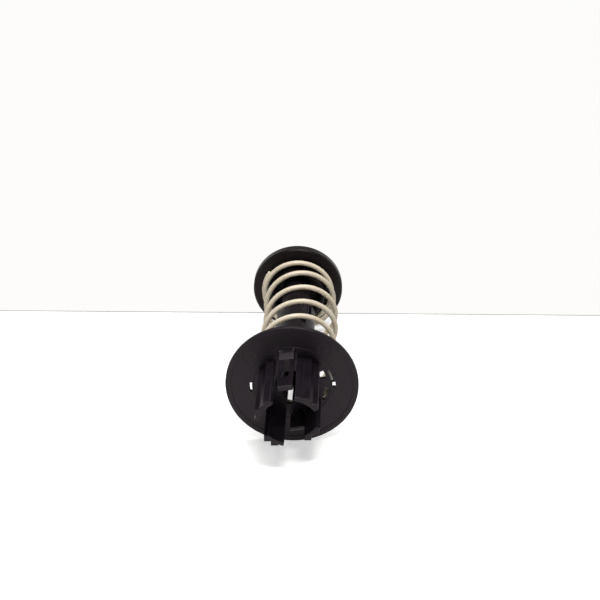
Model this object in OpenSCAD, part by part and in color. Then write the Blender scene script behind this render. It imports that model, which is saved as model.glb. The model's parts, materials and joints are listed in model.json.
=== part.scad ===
// Clip-in pop-up spring strut for a bonnet: a clip base, a sprung plunger and a compression spring.
// The axis runs along Y: clip legs towards -Y, plunger head towards +Y, Z up. The origin is the centre
// of the face that seats on the panel. Angles go clockwise from 12 o'clock, seen from the clip end.

/* [Flange] */
// Outer diameter of the flange
flange_d = 64; // [58:1:80]
// Thickness of the flange
flange_t = 2.2; // [1.6:0.1:4]
// Width of the raised band along the flange's edge
rim_w = 2.7; // [1.5:0.1:4]
// Outer diameter of the raised land round the clip
land_d = 42.4; // [42:0.2:48]
// Depth of the face between the two, below the seat
recess_depth = 0.3; // [0.2:0.1:1]
// Chamfer along the flange's edge
flange_chamfer = 0.35; // [0.1:0.05:0.7]
// Radius of the ejector pin marks
pin_mark_r = 3; // [1:0.1:3.2]
// Depth of the ejector pin marks
pin_mark_depth = 0.1; // [0.05:0.05:0.4]

/* [Clip] */
// Turn of the whole clip pattern about the axis, in degrees
clip_turn = -7; // [-20:1:20]
// Inner radius of the clip legs
leg_r = 14.2; // [13.8:0.1:14.6]
// Wall of the clip legs
leg_t = 2.2; // [1.4:0.1:2.4]
// Length of the two upper legs
upper_leg_len = 35; // [26:0.5:40]
// Length of the lower left leg
lower_left_len = 27.5; // [22:0.5:40]
// Length of the lower right leg
lower_right_len = 23.5; // [20:0.5:40]
// How far the corners of the stepped ribs stand off the legs
leg_rib_h = 1.7; // [0.6:0.1:2]
// Width of a rib
leg_rib_w = 3.4; // [2:0.1:4]
// Depth of the relief round the clip's root, below the seat
root_depth = 0.3; // [0.1:0.05:0.6]
// Gap between the legs' ribs and the seat's inner edge
root_gap = 0.5; // [0.2:0.1:0.8]
// Width of the two snap tongues
tongue_w = 7; // [5:0.1:8]
// Thickness of the snap tongues
tongue_t = 2.2; // [1.4:0.1:2.6]
// Width of the two rails beside the upper tongue's window
tongue_rail_w = 2; // [1.4:0.1:2.6]
// Length of the solid tip below that window
tongue_tip_len = 8.5; // [3:0.5:10]
// Inner radius of the snap tongues
tongue_r = 15.2; // [15:0.1:15.4]
// Width of the thin neck that each tongue hangs from
neck_w = 5; // [3:0.1:5.4]
// Height of the bridge between a neck and the guide collar
bridge_h = 2.4; // [1.5:0.1:4]
// Length of the upper tongue
upper_tongue_len = 28; // [26:0.5:40]
// Length of the lower tongue
lower_tongue_len = 13; // [10:0.5:40]
// Distance from the seat to the tongues' catch, so the thickest panel that the clip holds
grip = 1.2; // [0.8:0.1:4]
// How far the barb stands off its tongue
barb_h = 2; // [1:0.1:2.4]
// Length of the barb's lead-in slope
barb_len = 3; // [2:0.1:5]
// Gap round each tongue in its window through the flange
tongue_gap = 0.3; // [0.2:0.05:0.5]
// Room behind each tongue for its flexing
tongue_room = 0.8; // [0.5:0.1:1]

/* [Guide] */
// Outer radius of the guide tube
tube_r = 9.9; // [9:0.1:10.2]
// Wall of the guide tube
tube_t = 1.8; // [1.4:0.1:2.2]
// Height of the collar round the tube's root, above the flange
collar_h = 9.8; // [6:0.1:12]
// Wall of that collar
collar_t = 3.4; // [2.9:0.1:3.6]
// Width of the drain slot through the flange, the collar and the tube's root
drain_w = 2.4; // [1.5:0.1:3.5]
// Height of the drain slot in the tube, above the collar
drain_h = 2; // [1:0.5:4]
// Width of the slit at the tube's open end
slit_w = 1.8; // [1:0.1:3]
// Length of that slit
slit_len = 14; // [6:0.5:20]
// Height and width of the two lips beside the slit
lip = 0.5; // [0.3:0.05:0.6]
// Width of the small window in the tube
tube_window_w = 2.8; // [1.5:0.1:4]
// Length of that window
tube_window_len = 8; // [4:0.5:10]

/* [Plunger] */
// Travel of the plunger
travel = 28.5; // [20:0.5:32]
// Running clearance of the rod in the guide tube, on the radius
rod_clearance = 0.08; // [0.04:0.01:0.1]
// Wall of the rod
rod_t = 1.8; // [1.2:0.1:2.4]
// Width of the rod's two hooks
hook_w = 4; // [3:0.1:5]
// How far the hooks stand off the rod
hook_h = 1.5; // [1:0.1:1.7]
// Length of the hooks' lead-in
hook_len = 4; // [2.5:0.1:5]
// Length of the arms that carry the hooks
arm_len = 16; // [10:0.5:20]
// Gap beside the hooks and their arms
hook_gap = 0.4; // [0.2:0.05:0.6]
// From the seat to the head's inner face, with the plunger out
reach = 98; // [90:1:110]
// Diameter of the head
head_d = 48.2; // [42:0.2:60]
// Thickness of the head
head_t = 5.2; // [3:0.1:8]
// Chamfer along the head's edges
head_chamfer = 0.7; // [0.2:0.1:1.2]
// Length of the cup behind the head
cup_len = 8.5; // [5:0.5:20]
// Outer radius of the cup
cup_r = 14.5; // [14.2:0.1:15]
// Wall of the cup
cup_t = 2; // [1.2:0.1:2.2]
// Free travel that is left when the plunger is fully in
stop_gap = 0.5; // [0.2:0.1:1]

/* [Spring] */
// Wire diameter
wire_d = 2.6; // [2:0.1:3]
// Mean diameter of the coils
coil_d = 36.5; // [36.4:0.1:38]
// Number of turns, closed ends included
turns = 7.75; // [6:0.25:9]
// Gap between the closed turns at each end
closed_gap = 0.5; // [0.45:0.05:1]
// Clearance of the spring on what locates it, and at each end
spring_clearance = 0.25; // [0.1:0.05:0.5]
// How far the spring bows to one side in the middle
bow = 2.6; // [0:0.1:3]
// Angle of the wire's end at the head
tip_angle = 307; // [0:1:359]
// Height of the two rings that centre the spring
ring_h = 2.6; // [2:0.1:3.5]
// Wall of the two rings
ring_t = 1.3; // [0.8:0.1:1.5]

/* [Hidden] */
$fn = 96;
cut = 0.5;               // how far a cutting solid runs past what it cuts
edge = 0.4;              // small chamfer on free edges
flange_r = flange_d / 2;
land_r = land_d / 2;
land_in = leg_r + leg_t + leg_rib_h + root_gap;
rim_r = flange_r - rim_w;
bore_r = tube_r - tube_t;
collar_r = tube_r + collar_t;
collar_top = flange_t + collar_h;
tube_top = reach - travel - stop_gap;
leg_out = leg_r + leg_t;
tongue_out = tongue_r + tongue_t;
head_r = head_d / 2;
cup_end = reach - cup_len;
rod_r = bore_r - rod_clearance;
hook_r = rod_r + hook_h;
hook_slot_low = collar_top + edge;
hook_top = hook_slot_low + stop_gap + travel + hook_len;
rod_end = hook_top - hook_len - edge;
arm_root = rod_end + arm_len;
echo(str("rod in the tube with the plunger out: ", tube_top - rod_end, " mm"));
coil_r = coil_d / 2;
ring_out = coil_r - wire_d / 2 - spring_clearance;
ring_in = ring_out - ring_t;
neck_out = ring_out - 0.6;

// Clip legs as [mid angle, span], in degrees from the clip's own 12 o'clock
upper_left_leg = [-47, 46];
upper_right_leg = [39, 44];
lower_left_leg = [216, 34];
lower_right_leg = [145, 31];
LEGS = [upper_left_leg, upper_right_leg, lower_left_leg, lower_right_leg];

// Where the outer corners of each leg's ribs lie, in degrees from 12 o'clock
upper_left_ribs = [-40.5, -59.5];
upper_right_ribs = [32, 46.5];
lower_left_ribs = [210.5, 223];
lower_right_ribs = [148, 133];
upper_tongue_angle = 0;
lower_tongue_angle = 177;

// Windows through the flange as [inner radius, outer radius, from, to], in degrees from 12 o'clock
coil_out = coil_r + wire_d / 2;
left_slit = [coil_out - 0.4, coil_out + 0.75, 260, 275];
right_slit = [coil_out - 0.6, coil_out + 0.35, 64, 84];
right_slit_end = [coil_out - 0.1, coil_out + 1.35, 84, 93];
upper_leg_window = [leg_r - 0.1, leg_out + 0.7, 61, 76];
lower_leg_window = [leg_out - 0.4, leg_out + 1.2, 94, 119];
WINDOWS = [left_slit, right_slit, right_slit_end, upper_leg_window, lower_leg_window];
tongue_window_out = tongue_out + barb_h + 1;

// Openings of the guide tube, in degrees from 12 o'clock
drain_angle = 187;
slit_angle = 46;
tube_window_angle = 26;
HOOK_ANGLES = [110, 250];
drain_out = tube_r + 0.7;
pin_mark_place = (rim_r + land_r) / 2;

black = [0.09, 0.09, 0.10];
cream = [0.82, 0.77, 0.66];

// ---- placing ----

// Turns a profile given as [radius, along] about the strut's axis
module lathe()
    rotate([-90, 0, 0]) rotate_extrude() children();

// The same, between two angles
module arc(from, to)
    rotate([-90, 0, 0]) rotate([0, 0, from - 90]) rotate_extrude(angle = to - from) children();

// Turns what is built at 12 o'clock to another angle
module at(angle)
    rotate([0, angle, 0]) children();

// Extrudes a profile given as [along, radius] across the axis at 12 o'clock
module bar(width)
    translate([-width / 2, 0, 0]) rotate([90, 0, 90]) linear_extrude(width) children();

// A box at 12 o'clock from one radius to another, between two places along the axis
module block(width, r_from, r_to, y_from, y_to)
    translate([-width / 2, y_from, r_from]) cube([width, y_to - y_from, r_to - r_from]);

// ---- base ----

module flange_window(w)
    arc(w[2], w[3])
        polygon([
            [w[0], -cut],
            [w[1], -cut],
            [w[1], flange_t + cut],
            [w[0], flange_t + cut]
        ]);

// Window through the flange that a tongue hangs through and its barb moves in
module tongue_window(angle)
    at(clip_turn + angle)
        block(tongue_w + 2 * tongue_gap, tongue_r - tongue_room, tongue_window_out, -cut, flange_t + cut);

// Radial slot from the bore outwards, through which water drains
module drain_slot(r_to, y_from, y_to)
    at(drain_angle) block(drain_w, 0, r_to, y_from, y_to);

module flange_plate() {
    color(black) difference() {
        lathe() polygon([
            [bore_r, root_depth],
            [land_in - root_depth / 3, root_depth],
            [land_in, 0],
            [land_r, 0],
            [land_r + recess_depth / 3, recess_depth],
            [rim_r - recess_depth / 3, recess_depth],
            [rim_r, 0],
            [flange_r - flange_chamfer, 0],
            [flange_r, flange_chamfer],
            [flange_r, flange_t - flange_chamfer],
            [flange_r - flange_chamfer, flange_t],
            [bore_r, flange_t]
        ]);
        for (w = WINDOWS)
            flange_window(w);
        for (angle = [upper_tongue_angle, lower_tongue_angle])
            tongue_window(angle);
        drain_slot(drain_out, -cut, flange_t + cut);
        for (i = [0:3])
            at(clip_turn + 45 + 90 * i) translate([0, 0, pin_mark_place]) rotate([-90, 0, 0])
                cylinder(r = pin_mark_r, h = recess_depth + pin_mark_depth);
    }
}

module guide_collar() {
    color(black) difference() {
        lathe() polygon([
            [tube_r, flange_t],
            [collar_r, flange_t],
            [collar_r, collar_top - edge],
            [collar_r - edge, collar_top],
            [tube_r, collar_top]
        ]);
        drain_slot(collar_r + cut, flange_t - cut, collar_top + cut);
    }
}

// Tube that the plunger's rod slides in. Two long slots take the rod's hooks, and their far ends stop
// them.
module guide_tube() {
    color(black) difference() {
        union() {
            lathe() polygon([
                [bore_r, flange_t],
                [tube_r, flange_t],
                [tube_r, tube_top - edge],
                [tube_r - edge, tube_top],
                [bore_r, tube_top]
            ]);
            at(slit_angle)
                block(slit_w + 2 * lip, tube_r - cut, tube_r + lip, tube_top - slit_len, tube_top - 2 * edge);
        }
        at(slit_angle) block(slit_w, 0, tube_r + lip + cut, tube_top - slit_len, tube_top + cut);
        at(tube_window_angle)
            block(tube_window_w, 0, tube_r + cut, hook_top + edge, hook_top + edge + tube_window_len);
        for (angle = HOOK_ANGLES)
            at(angle) block(hook_w + 2 * hook_gap, 0, tube_r + cut, hook_slot_low, hook_top);
        drain_slot(tube_r + cut, flange_t - cut, collar_top + drain_h);
    }
}

// Low wall above each leg, which keeps the spring's near end centred
module base_spring_ring() {
    color(black)
        for (leg = LEGS)
            arc(clip_turn + leg[0] - leg[1] / 2, clip_turn + leg[0] + leg[1] / 2)
                polygon([
                    [ring_in, flange_t],
                    [ring_out, flange_t],
                    [ring_out, flange_t + ring_h - edge],
                    [ring_out - edge, flange_t + ring_h],
                    [ring_in, flange_t + ring_h]
                ]);
}

// Box-shaped rib along the outside of a leg, with one corner at this angle. Its sides are upright, as
// the mould opens up and down.
module leg_rib(corner, length) {
    rib_r = leg_out + leg_rib_h;
    x = rib_r * sin(corner);
    z = rib_r * cos(corner);
    difference() {
        translate([x - sign(x) * leg_rib_w / 2, (root_depth - length) / 2, z - sign(z) * leg_rib_w / 2])
            cube([leg_rib_w, length + root_depth, leg_rib_w], center = true);
        lathe() translate([0, -length - cut]) square([leg_r + leg_t / 2, length + 2 * cut]);
    }
}

// One clip leg: a curved wall with two stepped ribs along its outside
module clip_leg(leg, ribs, length) {
    color(black) {
        at(clip_turn) arc(leg[0] - leg[1] / 2, leg[0] + leg[1] / 2)
            polygon([
                [leg_r, root_depth],
                [leg_out, root_depth],
                [leg_out, -length + edge],
                [leg_out - edge, -length],
                [leg_r, -length]
            ]);
        for (corner = ribs)
            leg_rib(corner, length);
    }
}

module clip_leg_upper_left() { clip_leg(upper_left_leg, upper_left_ribs, upper_leg_len); }

module clip_leg_upper_right() { clip_leg(upper_right_leg, upper_right_ribs, upper_leg_len); }

module clip_leg_lower_left() { clip_leg(lower_left_leg, lower_left_ribs, lower_left_len); }

module clip_leg_lower_right() { clip_leg(lower_right_leg, lower_right_ribs, lower_right_len); }

// One snap tongue. A thin neck hangs it from the guide collar, through a window in the flange. It has a
// barb close below the seat and, where it is long enough, a window between two rails.
module clip_tongue(angle, length) {
    window_from = grip + barb_len + edge;
    window_to = length - tongue_tip_len;
    bridge_top = collar_top - edge;
    color(black) at(clip_turn + angle) difference() {
        union() {
            bar(tongue_w)
                polygon([
                    [root_depth, tongue_r],
                    [root_depth, tongue_out],
                    [-grip, tongue_out],
                    [-grip, tongue_out + barb_h],
                    [-(grip + barb_len), tongue_out],
                    [-(length - edge * 2), tongue_out],
                    [-length, tongue_out - edge * 2],
                    [-length, tongue_r]
                ]);
            bar(neck_w)
                polygon([
                    [root_depth - cut, tongue_r],
                    [bridge_top - bridge_h, tongue_r],
                    [bridge_top - bridge_h, collar_r - cut],
                    [bridge_top, collar_r - cut],
                    [bridge_top, neck_out],
                    [root_depth - cut, neck_out]
                ]);
        }
        lathe() square([collar_r, collar_top]);
        if (window_to > window_from)
            block(tongue_w - 2 * tongue_rail_w, tongue_r - cut, tongue_out + cut, -window_to, -window_from);
    }
}

module clip_tongue_upper() { clip_tongue(upper_tongue_angle, upper_tongue_len); }

module clip_tongue_lower() { clip_tongue(lower_tongue_angle, lower_tongue_len); }

// ---- plunger ----

module head_disc() {
    color(black) lathe() polygon([
        [0, reach],
        [head_r - head_chamfer, reach],
        [head_r, reach + head_chamfer],
        [head_r, reach + head_t - head_chamfer],
        [head_r - head_chamfer, reach + head_t],
        [0, reach + head_t]
    ]);
}

module head_spring_ring() {
    color(black) lathe() polygon([
        [ring_in, reach],
        [ring_out, reach],
        [ring_out, reach - ring_h + edge],
        [ring_out - edge, reach - ring_h],
        [ring_in, reach - ring_h]
    ]);
}

module plunger_cup() {
    color(black) lathe() polygon([
        [cup_r - cup_t, reach],
        [cup_r, reach],
        [cup_r, cup_end + edge],
        [cup_r - edge, cup_end],
        [cup_r - cup_t + edge, cup_end],
        [cup_r - cup_t, cup_end + edge]
    ]);
}

// Hollow rod that slides in the guide tube, with a recess at its end for each hook's arm
module plunger_rod() {
    color(black) difference() {
        lathe() polygon([
            [rod_r - rod_t, rod_end],
            [rod_r - edge, rod_end],
            [rod_r, rod_end + edge],
            [rod_r, reach],
            [rod_r - rod_t, reach]
        ]);
        for (angle = HOOK_ANGLES)
            at(angle) block(hook_w + 2 * hook_gap, 0, rod_r + cut, rod_end - cut, arm_root);
    }
}

// Springy arm at the rod's end. Its hook's flat side meets the end of the slot in the guide tube.
module rod_hook(angle) {
    color(black) at(angle) intersection() {
        lathe() polygon([
            [rod_r - rod_t, rod_end],
            [rod_r - edge, rod_end],
            [rod_r, rod_end + edge],
            [hook_r, hook_top - hook_len / 2],
            [hook_r, hook_top],
            [rod_r, hook_top],
            [rod_r, arm_root],
            [rod_r - rod_t, arm_root]
        ]);
        block(hook_w, 0, hook_r + cut, rod_end - cut, arm_root + cut);
    }
}

module rod_hook_right() { rod_hook(HOOK_ANGLES[0]); }

module rod_hook_left() { rod_hook(HOOK_ANGLES[1]); }

// ---- spring ----

rings_per_turn = 24;
wire_sides = 6;
head_closed = 1;         // turns that lie close at the head
base_closed = 0.8;       // turns that lie close at the flange
ramp_turns = 0.4;        // turns over which the pitch opens
bow_skew = 1.6;          // over 1, the bow is widest past the middle, towards the head
bow_turn = 10;           // degrees that the bow points below the right
spring_from = flange_t + spring_clearance + wire_d / 2;
spring_to = reach - spring_clearance - wire_d / 2;
spring_len = spring_to - spring_from;
closed_pitch = wire_d + closed_gap;
open_pitch = (spring_len - closed_pitch * (head_closed + base_closed + ramp_turns))
    / (turns - head_closed - base_closed - ramp_turns);
ring_count = round(turns * rings_per_turn);

// How far along the spring the wire has come after t turns from an end with so many closed turns
function advance(t, closed) =
    t < closed ? closed_pitch * t :
    t < closed + ramp_turns ?
        closed_pitch * t + (open_pitch - closed_pitch) * pow(t - closed, 2) / (2 * ramp_turns) :
    closed_pitch * (closed + ramp_turns) + (open_pitch - closed_pitch) * ramp_turns / 2
        + open_pitch * (t - closed - ramp_turns);

function wire_along(t) =
    t < turns / 2 ? spring_to - advance(t, head_closed) : spring_from + advance(turns - t, base_closed);

// How far the spring bows at a place along it
function bow_at(y) = bow * sin(180 * pow(max(0, y - spring_from) / spring_len, bow_skew));

// Centre of the wire after t turns from the head, winding right-handed
function wire_at(t) =
    let (angle = tip_angle - 360 * t, y = wire_along(t))
    [coil_r * sin(angle) + bow_at(y) * cos(bow_turn), y, coil_r * cos(angle) - bow_at(y) * sin(bow_turn)];

function wire_ring(t) =
    let (
        angle = tip_angle - 360 * t,
        step = 0.01,
        heading = wire_at(min(t + step, turns)) - wire_at(max(t - step, 0)),
        outward = [sin(angle), 0, cos(angle)],
        across = cross(heading, outward),
        side = across / norm(across)
    )
    [for (k = [0:wire_sides - 1])
        wire_at(t) + wire_d / 2 * (outward * cos(360 * k / wire_sides) + side * sin(360 * k / wire_sides))];

// Least gap of the wire to itself, over all pairs of rings that lie half a turn or more apart
wire_centres = [for (i = [0:ring_count]) wire_at(turns * i / ring_count)];
least_gap = min([
    for (i = [0:ring_count])
        for (j = [i + rings_per_turn / 2:1:ring_count])
            norm(wire_centres[i] - wire_centres[j])
]) - wire_d;
echo(str("least gap of the spring to itself: ", least_gap, " mm"));

module spring() {
    points = [for (i = [0:ring_count]) each wire_ring(turns * i / ring_count)];
    last = ring_count * wire_sides;
    sides = [
        for (i = [0:ring_count - 1])
            for (k = [0:wire_sides - 1])
                let (
                    a = i * wire_sides + k,
                    b = i * wire_sides + (k + 1) % wire_sides,
                    c = a + wire_sides,
                    d = b + wire_sides
                )
                each [[a, b, c], [b, d, c]]
    ];
    near_cap = [for (k = [1:wire_sides - 2]) [0, k + 1, k]];
    far_cap = [for (k = [1:wire_sides - 2]) [last, last + k, last + k + 1]];
    color(cream) polyhedron(points, concat(sides, near_cap, far_cap), 4);
}

flange_plate();
guide_collar();
guide_tube();
base_spring_ring();
clip_leg_upper_left();
clip_leg_upper_right();
clip_leg_lower_left();
clip_leg_lower_right();
clip_tongue_upper();
clip_tongue_lower();
head_disc();
head_spring_ring();
plunger_cup();
plunger_rod();
rod_hook_right();
rod_hook_left();
spring();
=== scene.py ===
# %% [markdown]
# # A clip-in spring strut, dressed over its CAD frame
#
# The real object is a small spring strut: a black moulded base that snaps into a hole in sheet
# metal, a black moulded plunger, and a cream coated compression spring between them. The solids
# come from the CAD frame, in metres, with the strut's axis along Y. This script gives them real
# finishes, makes the round wire of the spring, and lights the strut where it lies on a white
# table.

# %% Load the frame and keep its size
import json
import math

import bmesh
import bpy
from mathutils import Euler, Matrix, Vector


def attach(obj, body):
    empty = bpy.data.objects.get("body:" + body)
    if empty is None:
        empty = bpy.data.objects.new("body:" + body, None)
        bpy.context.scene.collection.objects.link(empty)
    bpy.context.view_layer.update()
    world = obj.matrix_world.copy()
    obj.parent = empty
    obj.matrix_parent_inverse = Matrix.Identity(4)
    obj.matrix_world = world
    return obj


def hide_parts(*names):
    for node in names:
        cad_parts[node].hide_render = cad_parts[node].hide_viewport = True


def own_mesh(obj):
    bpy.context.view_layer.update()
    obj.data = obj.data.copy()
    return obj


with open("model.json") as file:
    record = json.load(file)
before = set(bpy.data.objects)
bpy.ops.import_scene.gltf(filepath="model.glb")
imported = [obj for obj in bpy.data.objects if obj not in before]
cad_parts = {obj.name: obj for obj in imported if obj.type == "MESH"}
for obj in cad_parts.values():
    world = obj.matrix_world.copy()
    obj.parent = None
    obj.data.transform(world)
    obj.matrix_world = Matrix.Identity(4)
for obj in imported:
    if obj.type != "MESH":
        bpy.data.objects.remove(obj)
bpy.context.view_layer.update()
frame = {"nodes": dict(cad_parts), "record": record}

# %% [markdown]
# ## Units and small helpers
#
# Blender counts in metres and a moulded part is drawn in millimetres, so one value turns one into
# the other. Colours are written as the sRGB hex codes that a paint chart gives. The shader works
# with linear light, so the first helper turns a code into linear values. The others build node
# trees and finish a mesh. One of them tells the rays that look at a surface from those that only
# carry light off it.

# %% Helpers
MM = 0.001


def linear(code):
    """Linear RGBA from an sRGB hex code."""
    parts = [int(code[i:i + 2], 16) / 255 for i in (1, 3, 5)]
    return [p / 12.92 if p <= 0.04045 else ((p + 0.055) / 1.055) ** 2.4 for p in parts] + [1.0]


def add_node(tree, kind, values=None, links=None, **settings):
    """Adds one shader node, with its settings, its values and what feeds it."""
    made = tree.nodes.new("ShaderNode" + kind)
    for name, setting in settings.items():
        setattr(made, name, setting)
    for socket, value in (values or {}).items():
        made.inputs[socket].default_value = value
    for socket, (source, output) in (links or {}).items():
        tree.links.new(source.outputs[output], made.inputs[socket])
    return made


def new_material(name):
    """An empty material and its node tree."""
    material = bpy.data.materials.new(name)
    material.use_nodes = True
    material.node_tree.nodes.clear()
    return material, material.node_tree


def finish_surface(tree, shader):
    """Links a shader to the material's output."""
    add_node(tree, "OutputMaterial", links={"Surface": (shader, 0)})


def looked_at(tree):
    """1 for the rays of the camera, of reflections and of what is seen through glass, else 0."""
    path = add_node(tree, "LightPath")
    mirrored = add_node(
        tree, "Math",
        links={0: (path, "Is Glossy Ray"), 1: (path, "Is Transmission Ray")},
        operation="MAXIMUM",
    )
    return add_node(
        tree, "Math",
        links={0: (path, "Is Camera Ray"), 1: (mirrored, "Value")},
        operation="MAXIMUM",
    )


def mesh_piece(name, bm, material):
    """Turns a bmesh into an object at the origin, smooth, with its normals outwards."""
    bmesh.ops.recalc_face_normals(bm, faces=bm.faces)
    mesh = bpy.data.meshes.new(name)
    bm.to_mesh(mesh)
    bm.free()
    mesh.polygons.foreach_set("use_smooth", [True] * len(mesh.polygons))
    piece = bpy.data.objects.new(name, mesh)
    bpy.context.scene.collection.objects.link(piece)
    mesh.materials.append(material)
    print(name, len(mesh.vertices), "points,", len(mesh.polygons), "faces")
    return piece


# %% [markdown]
# ## The camera
#
# The strut is seen from its clip end and from above, with a long lens, so the flange in front
# hardly looks larger than the head behind it. The camera stands 0.62 m away, and its lens is 78 mm
# on a sensor of 36 mm. Its place and turn are in the strut's own frame, in millimetres and
# degrees.

# %% Camera
CAMERA_PLACE = Vector((23.4, -526.5, 333.8)) * MM
CAMERA_TURN = (61.41, 0.86, 1.58)
LENS = 78
SENSOR = 36
NEAREST = 10            # mm, nothing is drawn nearer to the lens

lens = bpy.data.cameras.new("camera")
lens.lens = LENS
lens.sensor_width = SENSOR
lens.clip_start = NEAREST * MM
camera = bpy.data.objects.new("camera", lens)
camera.location = CAMERA_PLACE
camera.rotation_euler = Euler([math.radians(a) for a in CAMERA_TURN], "XYZ")
bpy.context.scene.collection.objects.link(camera)
bpy.context.scene.camera = camera
print("camera", LENS, "mm")

# %% [markdown]
# ## Black moulded plastic
#
# Clips and struts such as this are injection moulded in acetal or nylon, coloured through with
# carbon black. The steel mould is spark eroded, which leaves a fine matt grain, so the plastic
# shows a soft, wide sheen and no sharp reflections. Every edge of a moulding has a small radius,
# which catches the light as a thin line. The Bevel node rounds the normals there without touching
# the CAD mesh, and where its normal leaves the face's own normal is an edge, so the same node
# finds the edges. There the colour is painted paler: a little of it is rubbed wear, most of it is
# a painted highlight for the light that a rounded edge catches.

# %% Plastic material
GRAIN_MM = 0.45         # eroded grain is about 0.1 mm, drawn coarser so that it shows
FLOW_MM = 9             # soft clouding where the melt flowed
EDGE_RADIUS_MM = 0.28
EDGE_SAMPLES = 6
SHEEN = "#F4E6EB"       # the gloss of carbon black has a faint violet cast
NOISE_SPAN = {"From Min": 0.3, "From Max": 0.7}     # where most of a noise texture's values lie
# the painted edge highlight grows over this span of the cosine between the normals
EDGE_HIGHLIGHT_SPAN = {"From Min": 0.995, "From Max": 0.9}    # the cosine between both normals, face to edge
CLOUDING = 0.2          # the most of the paler colour on a flat face
SMOOTHER, ROUGHER = 0.05, 0.06      # how far the clouding moves the roughness, down and up


def per_mm(size):
    """Noise scale for features of this size in millimetres, on coordinates in metres."""
    return 1 / (size * MM)


def moulded_plastic(name, dark, pale, roughness, specular, grain_height):
    """Carbon black plastic: clouding, grain, and rounded edges painted paler as highlight and
    wear.
    """
    material, tree = new_material(name)
    place = add_node(tree, "TexCoord")
    flow = add_node(
        tree, "TexNoise",
        {"Scale": per_mm(FLOW_MM), "Detail": 3, "Roughness": 0.55},
        {"Vector": (place, "Object")},
    )
    grain = add_node(
        tree, "TexNoise",
        {"Scale": per_mm(GRAIN_MM), "Detail": 2, "Roughness": 0.6},
        {"Vector": (place, "Object")},
    )
    rounded = add_node(tree, "Bevel", {"Radius": EDGE_RADIUS_MM * MM}, samples=EDGE_SAMPLES)
    surface = add_node(tree, "NewGeometry")
    same = add_node(
        tree, "VectorMath",
        links={0: (rounded, "Normal"), 1: (surface, "Normal")},
        operation="DOT_PRODUCT",
    )
    # painted highlight: this mask paints the edges paler, a little for rubbed wear, mostly for
    # light
    edge_highlight = add_node(
        tree, "MapRange",
        {**EDGE_HIGHLIGHT_SPAN, "To Min": 0, "To Max": 1},
        {"Value": (same, "Value")},
    )
    clouded = add_node(
        tree, "MapRange",
        {**NOISE_SPAN, "To Min": 0, "To Max": CLOUDING},
        {"Value": (flow, "Fac")},
    )
    share = add_node(
        tree, "Math",
        links={0: (clouded, "Result"), 1: (edge_highlight, "Result")},
        operation="ADD",
        use_clamp=True,
    )
    colour = add_node(
        tree, "Mix",
        {"A": linear(dark), "B": linear(pale)},
        {"Factor": (share, "Value")},
        data_type="RGBA",
    )
    rough = add_node(
        tree, "MapRange",
        {**NOISE_SPAN, "To Min": roughness - SMOOTHER, "To Max": roughness + ROUGHER},
        {"Value": (flow, "Fac")},
    )
    bump = add_node(
        tree, "Bump",
        {"Strength": 0.6, "Distance": grain_height * MM},
        {"Height": (grain, "Fac"), "Normal": (rounded, "Normal")},
    )
    shader = add_node(
        tree, "BsdfPrincipled",
        {"IOR": 1.48, "Specular IOR Level": specular, "Specular Tint": linear(SHEEN)},
        {
            "Base Color": (colour, "Result"),
            "Roughness": (rough, "Result"),
            "Normal": (bump, "Normal"),
        },
    )
    finish_surface(tree, shader)
    return material


# each plastic's second colour is both its clouding and its painted edge highlight
BASE_PLASTIC = moulded_plastic(
    "black acetal, matt moulded", "#0E090F", "#2E2832",
    roughness=0.44, specular=0.32, grain_height=0.05,
)
PLUNGER_PLASTIC = moulded_plastic(
    "black nylon, smooth moulded", "#191516", "#302A2B",
    roughness=0.36, specular=0.18, grain_height=0.03,
)
print("plastics:", BASE_PLASTIC.name, "-", PLUNGER_PLASTIC.name)

# %% [markdown]
# ## Give the plastic to the CAD nodes
#
# The CAD solids of the two mouldings have their real shape already, so they stay and only get the
# finish. The record says which slot each node belongs to.

# %% Finish the CAD nodes
PLASTIC = {"base_plastic": BASE_PLASTIC, "plunger_plastic": PLUNGER_PLASTIC}

for part in frame["record"]["subparts"]:
    if part["material_slot"] in PLASTIC:
        solid = frame["nodes"][part["node"]]
        for slot in solid.material_slots:
            slot.material = PLASTIC[part["material_slot"]]
        print(part["node"], "->", PLASTIC[part["material_slot"]].name)

# %% [markdown]
# ## Cream powder coat
#
# The spring is hard drawn steel wire, coated with a cream powder that is baked on. Powder coat has
# a soft gloss with a faint orange peel, and it gathers dust and a little rub where coils lie near
# each other. The peel is drawn at just under a millimetre, a third of the wire's thickness, and
# the stains are wider than the wire, so that they lie along it.

# %% Spring material
PEEL_MM = 0.9
PEEL_HEIGHT_MM = 0.03
STAIN_MM = 7
STAIN_SPAN = {"From Min": 0.45, "From Max": 0.75}   # noise below the first value leaves it clean
STAINED = 0.7           # the most of the rubbed colour anywhere


def powder_coat(name, cream, rubbed):
    """Baked powder: a warm cream, slightly stained, under a soft gloss."""
    material, tree = new_material(name)
    place = add_node(tree, "TexCoord")
    stain = add_node(
        tree, "TexNoise",
        {"Scale": per_mm(STAIN_MM), "Detail": 4, "Roughness": 0.6},
        {"Vector": (place, "Object")},
    )
    peel = add_node(
        tree, "TexNoise",
        {"Scale": per_mm(PEEL_MM), "Detail": 1},
        {"Vector": (place, "Object")},
    )
    share = add_node(
        tree, "MapRange",
        {**STAIN_SPAN, "To Min": 0, "To Max": STAINED},
        {"Value": (stain, "Fac")},
    )
    colour = add_node(
        tree, "Mix",
        {"A": linear(cream), "B": linear(rubbed)},
        {"Factor": (share, "Result")},
        data_type="RGBA",
    )
    bump = add_node(
        tree, "Bump",
        {"Strength": 0.35, "Distance": PEEL_HEIGHT_MM * MM},
        {"Height": (peel, "Fac")},
    )
    shader = add_node(
        tree, "BsdfPrincipled",
        {"Roughness": 0.34, "IOR": 1.5},
        {"Base Color": (colour, "Result"), "Normal": (bump, "Normal")},
    )
    finish_surface(tree, shader)
    return material


SPRING_COAT = powder_coat("cream powder coat on spring steel", "#F2E5CE", "#DAC8A5")
print("coat:", SPRING_COAT.name)

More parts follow.
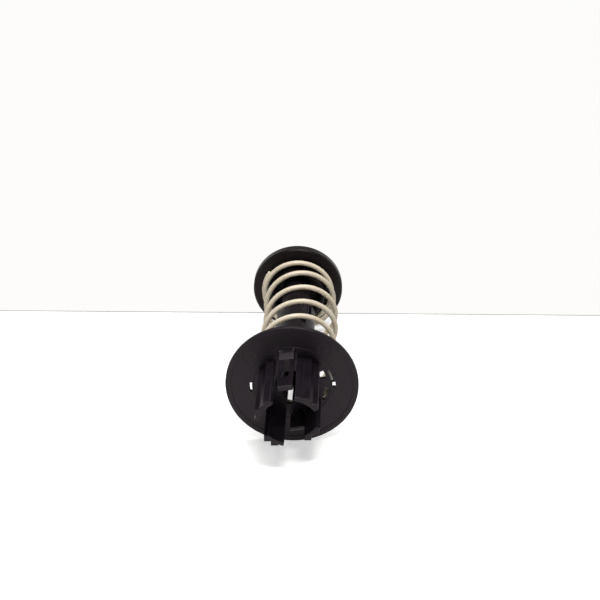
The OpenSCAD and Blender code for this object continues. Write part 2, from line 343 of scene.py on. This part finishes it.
# %% [markdown]
# ## The spring
#
# A compression spring is round wire wound on a mandrel. Its pitch is even in the middle, and the
# turns at both ends lie close, so that they seat flat. This one also bows a little to the right
# and down, most of all a little past its middle, as long thin springs do. It could be a curve with
# a round bevel, but a wire is a circle that is spun and lifted at the same time, so here the spin
# operator turns a circle a few degrees at a time about the spring's own bent middle line, and each
# step moves it on by what the pitch asks.

# %% Where the wire runs
WIRE_D = 2.6
COIL_R = 18.25                  # to the middle of the wire
TURNS = 7.75
CLOSED_PITCH = 3.1
HEAD_CLOSED, BASE_CLOSED = 1, 0.8       # closed turns at each end
RAMP = 0.4                      # turns over which the pitch opens
FLANGE_T, REACH = 2.2, 98       # the spring stands between the flange and the head's underside
END_GAP = 0.25
TIP_ANGLE = 307                 # where the wire starts at the head, in degrees from the top
BOW = 2.6                       # how far the middle is pushed aside
BOW_SKEW = 1.6                  # above 1, the widest place moves towards the head
BOW_TURN = 10                   # degrees that the bow leans down from level
STEPS_PER_TURN = 48
WIRE_SIDES = 20
CUT_EDGE = 0.25                 # rounding of the cut ends of the wire
CUT_EDGE_STEPS = 3

spring_from = FLANGE_T + END_GAP + WIRE_D / 2
spring_to = REACH - END_GAP - WIRE_D / 2
spring_len = spring_to - spring_from
closed = HEAD_CLOSED + BASE_CLOSED + RAMP
open_pitch = (spring_len - CLOSED_PITCH * closed) / (TURNS - closed)


def advance(t, closed_turns):
    """How far along the wire has come, t turns from an end with so many closed turns."""
    gain = open_pitch - CLOSED_PITCH
    if t < closed_turns:
        return CLOSED_PITCH * t
    if t < closed_turns + RAMP:
        return CLOSED_PITCH * t + gain * (t - closed_turns) ** 2 / (2 * RAMP)
    open_from = closed_turns + RAMP
    return CLOSED_PITCH * open_from + gain * RAMP / 2 + open_pitch * (t - open_from)


def wire_along(t):
    """The wire's place along the axis, in mm, t turns from the head."""
    if t < TURNS / 2:
        return spring_to - advance(t, HEAD_CLOSED)
    return spring_from + advance(TURNS - t, BASE_CLOSED)


def bow_at(y):
    """The spring's middle y mm along the axis, bowed right and a little down, in metres."""
    size = BOW * math.sin(math.pi * (max(0, y - spring_from) / spring_len) ** BOW_SKEW)
    down = math.radians(BOW_TURN)
    return Vector((size * math.cos(down), y, -size * math.sin(down))) * MM


print("open pitch", round(open_pitch, 2), "mm")

# %% Wind the wire
def wind_wire():
    """A circle spun and moved on, step by step, from the head to the flange."""
    bm = bmesh.new()
    top = Matrix.Translation((0, spring_to * MM, COIL_R * MM))
    across = Matrix.Rotation(math.radians(90), 4, "Y")
    bmesh.ops.create_circle(bm, segments=WIRE_SIDES, radius=WIRE_D / 2 * MM, matrix=top @ across)
    bmesh.ops.rotate(bm, verts=bm.verts, matrix=Matrix.Rotation(math.radians(TIP_ANGLE), 3, "Y"))
    ends = [bm.edges[:]]
    ring = bm.verts[:] + bm.edges[:]
    for k in range(round(TURNS * STEPS_PER_TURN)):
        here, there = (bow_at(wire_along(step / STEPS_PER_TURN)) for step in (k, k + 1))
        ring = bmesh.ops.spin(
            bm, geom=ring, steps=1, axis=(0, 1, 0),
            angle=-math.radians(360 / STEPS_PER_TURN), cent=here, dvec=there - here,
        )["geom_last"]
    ends.append([g for g in ring if isinstance(g, bmesh.types.BMEdge)])
    for rim in ends:
        bmesh.ops.edgeloop_fill(bm, edges=rim)
    bmesh.ops.bevel(
        bm, geom=[e for rim in ends for e in rim], offset=CUT_EDGE * MM, affect="EDGES",
        segments=CUT_EDGE_STEPS, profile=0.5, material=-1,
    )
    return bm


spring_wire = mesh_piece("spring_wire", wind_wire(), SPRING_COAT)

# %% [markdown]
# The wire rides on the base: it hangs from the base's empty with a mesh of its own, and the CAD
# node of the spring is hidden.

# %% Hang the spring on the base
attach(spring_wire, "base")
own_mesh(spring_wire)
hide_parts("spring")

# %% [markdown]
# ## The table
#
# The strut lies on its side on a glossy white board, on the rims of its flange and its head. The
# head is smaller, so the board leans a few degrees against the strut's axis. The board ends behind
# the head in a thin grey strip, which is painted shade for the corner where a white backdrop would
# rise from the board, and beyond it there is only white.
#
# A board that is lit until it looks white would throw too much light up at the strut. So the
# material parts the rays: light that bounces off meets a pale grey board, and where the camera or
# a reflection looks at it, it is a white board with a little glow, on which the shadows stay.

# %% Board and painted corner shade
BOARD_HALF = 900                # half its width
BOARD_FRONT, BOARD_BACK = -900, 112
BOARD_TURN = -0.8               # degrees that it lies askew to the strut
FLANGE_FOOT = (1.85, -32.0)     # along the axis and height, where the flange touches the board
HEAD_FOOT = (98.7, -24.1)       # the same for the head
# width of the grey strip of painted shade at the board's back
CORNER_SHADE_W = 0.9
BOARD_GLOW, CORNER_SHADE_GLOW = 0.56, 0.2      # of a white of 1
HAZE_MM = 60                    # faint clouds in the lacquer

slope = (HEAD_FOOT[1] - FLANGE_FOOT[1]) / (HEAD_FOOT[0] - FLANGE_FOOT[0])


def board_paint(name, bounced, seen, hazy, glow):
    """Paint that is pale grey to bounced light, and brighter where it is looked at."""
    material, tree = new_material(name)
    place = add_node(tree, "TexCoord")
    haze = add_node(
        tree, "TexNoise",
        {"Scale": per_mm(HAZE_MM), "Detail": 2},
        {"Vector": (place, "Object")},
    )
    tint = add_node(
        tree, "Mix",
        {"A": linear(seen), "B": linear(hazy)},
        {"Factor": (haze, "Fac")},
        data_type="RGBA",
    )
    pale = add_node(tree, "BsdfDiffuse", {"Color": linear(bounced)})
    paint = add_node(tree, "BsdfPrincipled", {"Roughness": 0.3}, {"Base Color": (tint, "Result")})
    lift = add_node(tree, "Emission", {"Color": linear("#FFFFFF"), "Strength": glow})
    bright = add_node(tree, "AddShader", links={0: (paint, 0), 1: (lift, 0)})
    in_view = looked_at(tree)
    mixed = add_node(
        tree, "MixShader", links={"Fac": (in_view, "Value"), 1: (pale, 0), 2: (bright, 0)}
    )
    finish_surface(tree, mixed)
    return material


def flat_stage(name, back, front, material):
    """A flat strip of the board between two places along the axis, at the board's slope."""
    bm = bmesh.new()
    bmesh.ops.create_grid(bm, x_segments=1, y_segments=1, size=1)
    middle, half = (back + front) / 2, (back - front) / 2
    bmesh.ops.scale(bm, verts=bm.verts, vec=(BOARD_HALF, half, 1))
    bmesh.ops.translate(bm, verts=bm.verts, vec=(0, middle - BOARD_BACK, 0))
    askew = Matrix.Rotation(math.radians(BOARD_TURN), 3, "Z")
    bmesh.ops.rotate(bm, verts=bm.verts, matrix=askew)
    bmesh.ops.translate(bm, verts=bm.verts, vec=(0, BOARD_BACK, 0))
    for v in bm.verts:
        v.co.z = FLANGE_FOOT[1] + slope * (v.co.y - FLANGE_FOOT[0])
    bmesh.ops.scale(bm, verts=bm.verts, vec=(MM, MM, MM))
    piece = mesh_piece(name, bm, material)


BOARD_WHITE = board_paint("white lacquered board", "#B8B6B2", "#F3F3F2", "#F6F6F5", BOARD_GLOW)
# painted shade: a grey strip for the shade in the corner where the board meets the white beyond
CORNER_SHADE_PAINT = board_paint("painted corner shade of the board", "#8F8C84", "#8F8C84", "#A8A59E", CORNER_SHADE_GLOW)
flat_stage("board", BOARD_BACK, BOARD_FRONT, BOARD_WHITE)
flat_stage("corner_shade_strip", BOARD_BACK + CORNER_SHADE_W, BOARD_BACK, CORNER_SHADE_PAINT)

# %% [markdown]
# ## Light
#
# Two long softboxes hang over the strut. The one straight above is broad, and makes the tops of
# the coils bright and their undersides fall off quickly. The one in front is a narrow strip, and
# throws the short shadows of the clip legs. Both are long from side to side, so those shadows have
# soft sides and sharper ends. The room adds a weak, even light. The camera and the reflections see
# white walls under a dark ceiling, which keeps the upper faces of the black plastic dark.

# %% Softboxes
def hang_softbox(name, place, width, depth, power):
    """A long softbox at a place in mm, turned towards the strut."""
    light = bpy.data.lights.new(name, "AREA")
    light.shape = "RECTANGLE"
    light.size, light.size_y = width * MM, depth * MM
    light.energy = power
    lamp = bpy.data.objects.new(name, light)
    lamp.location = Vector(place) * MM
    lamp.rotation_euler = (-lamp.location).to_track_quat("-Z", "Y").to_euler()
    bpy.context.scene.collection.objects.link(lamp)
    print(name, power, "W")


hang_softbox("softbox above", (0, 80, 700), width=600, depth=200, power=3.3)
hang_softbox("softbox in front", (60, -320, 640), width=190, depth=50, power=2.45)

# %% The room
FILL, FILL_LIGHT = 0.09, "#FAF5EE"
WALL, CEILING = "#FDFCFA", "#303032"
CEILING_FROM, CEILING_FULL = 0.15, 0.5      # how steeply a ray looks up, as its height per length

room = bpy.data.worlds.new("white room")
room.use_nodes = True
tree = room.node_tree
tree.nodes.clear()
towards = add_node(tree, "TexCoord")
height = add_node(tree, "SeparateXYZ", links={0: (towards, "Generated")})
overhead = add_node(
    tree, "MapRange",
    {"From Min": CEILING_FROM, "From Max": CEILING_FULL, "To Min": 0, "To Max": 1},
    {"Value": (height, "Z")},
)
walls = add_node(
    tree, "Mix",
    {"A": linear(WALL), "B": linear(CEILING)},
    {"Factor": (overhead, "Result")},
    data_type="RGBA",
)
in_view = looked_at(tree)
soft_fill = add_node(tree, "Background", {"Color": linear(FILL_LIGHT), "Strength": FILL})
seen_room = add_node(tree, "Background", {"Strength": 1}, {"Color": (walls, "Result")})
both = add_node(
    tree, "MixShader", links={"Fac": (in_view, "Value"), 1: (soft_fill, 0), 2: (seen_room, 0)}
)
add_node(tree, "OutputWorld", links={"Surface": (both, 0)})
bpy.context.scene.world = room
print("room:", room.name, "- fill", FILL)

# %% [markdown]
# The view transform is Standard, so that the board's white stays white and the coat keeps its
# cream.

# %% View transform
bpy.context.scene.view_settings.view_transform = "Standard"
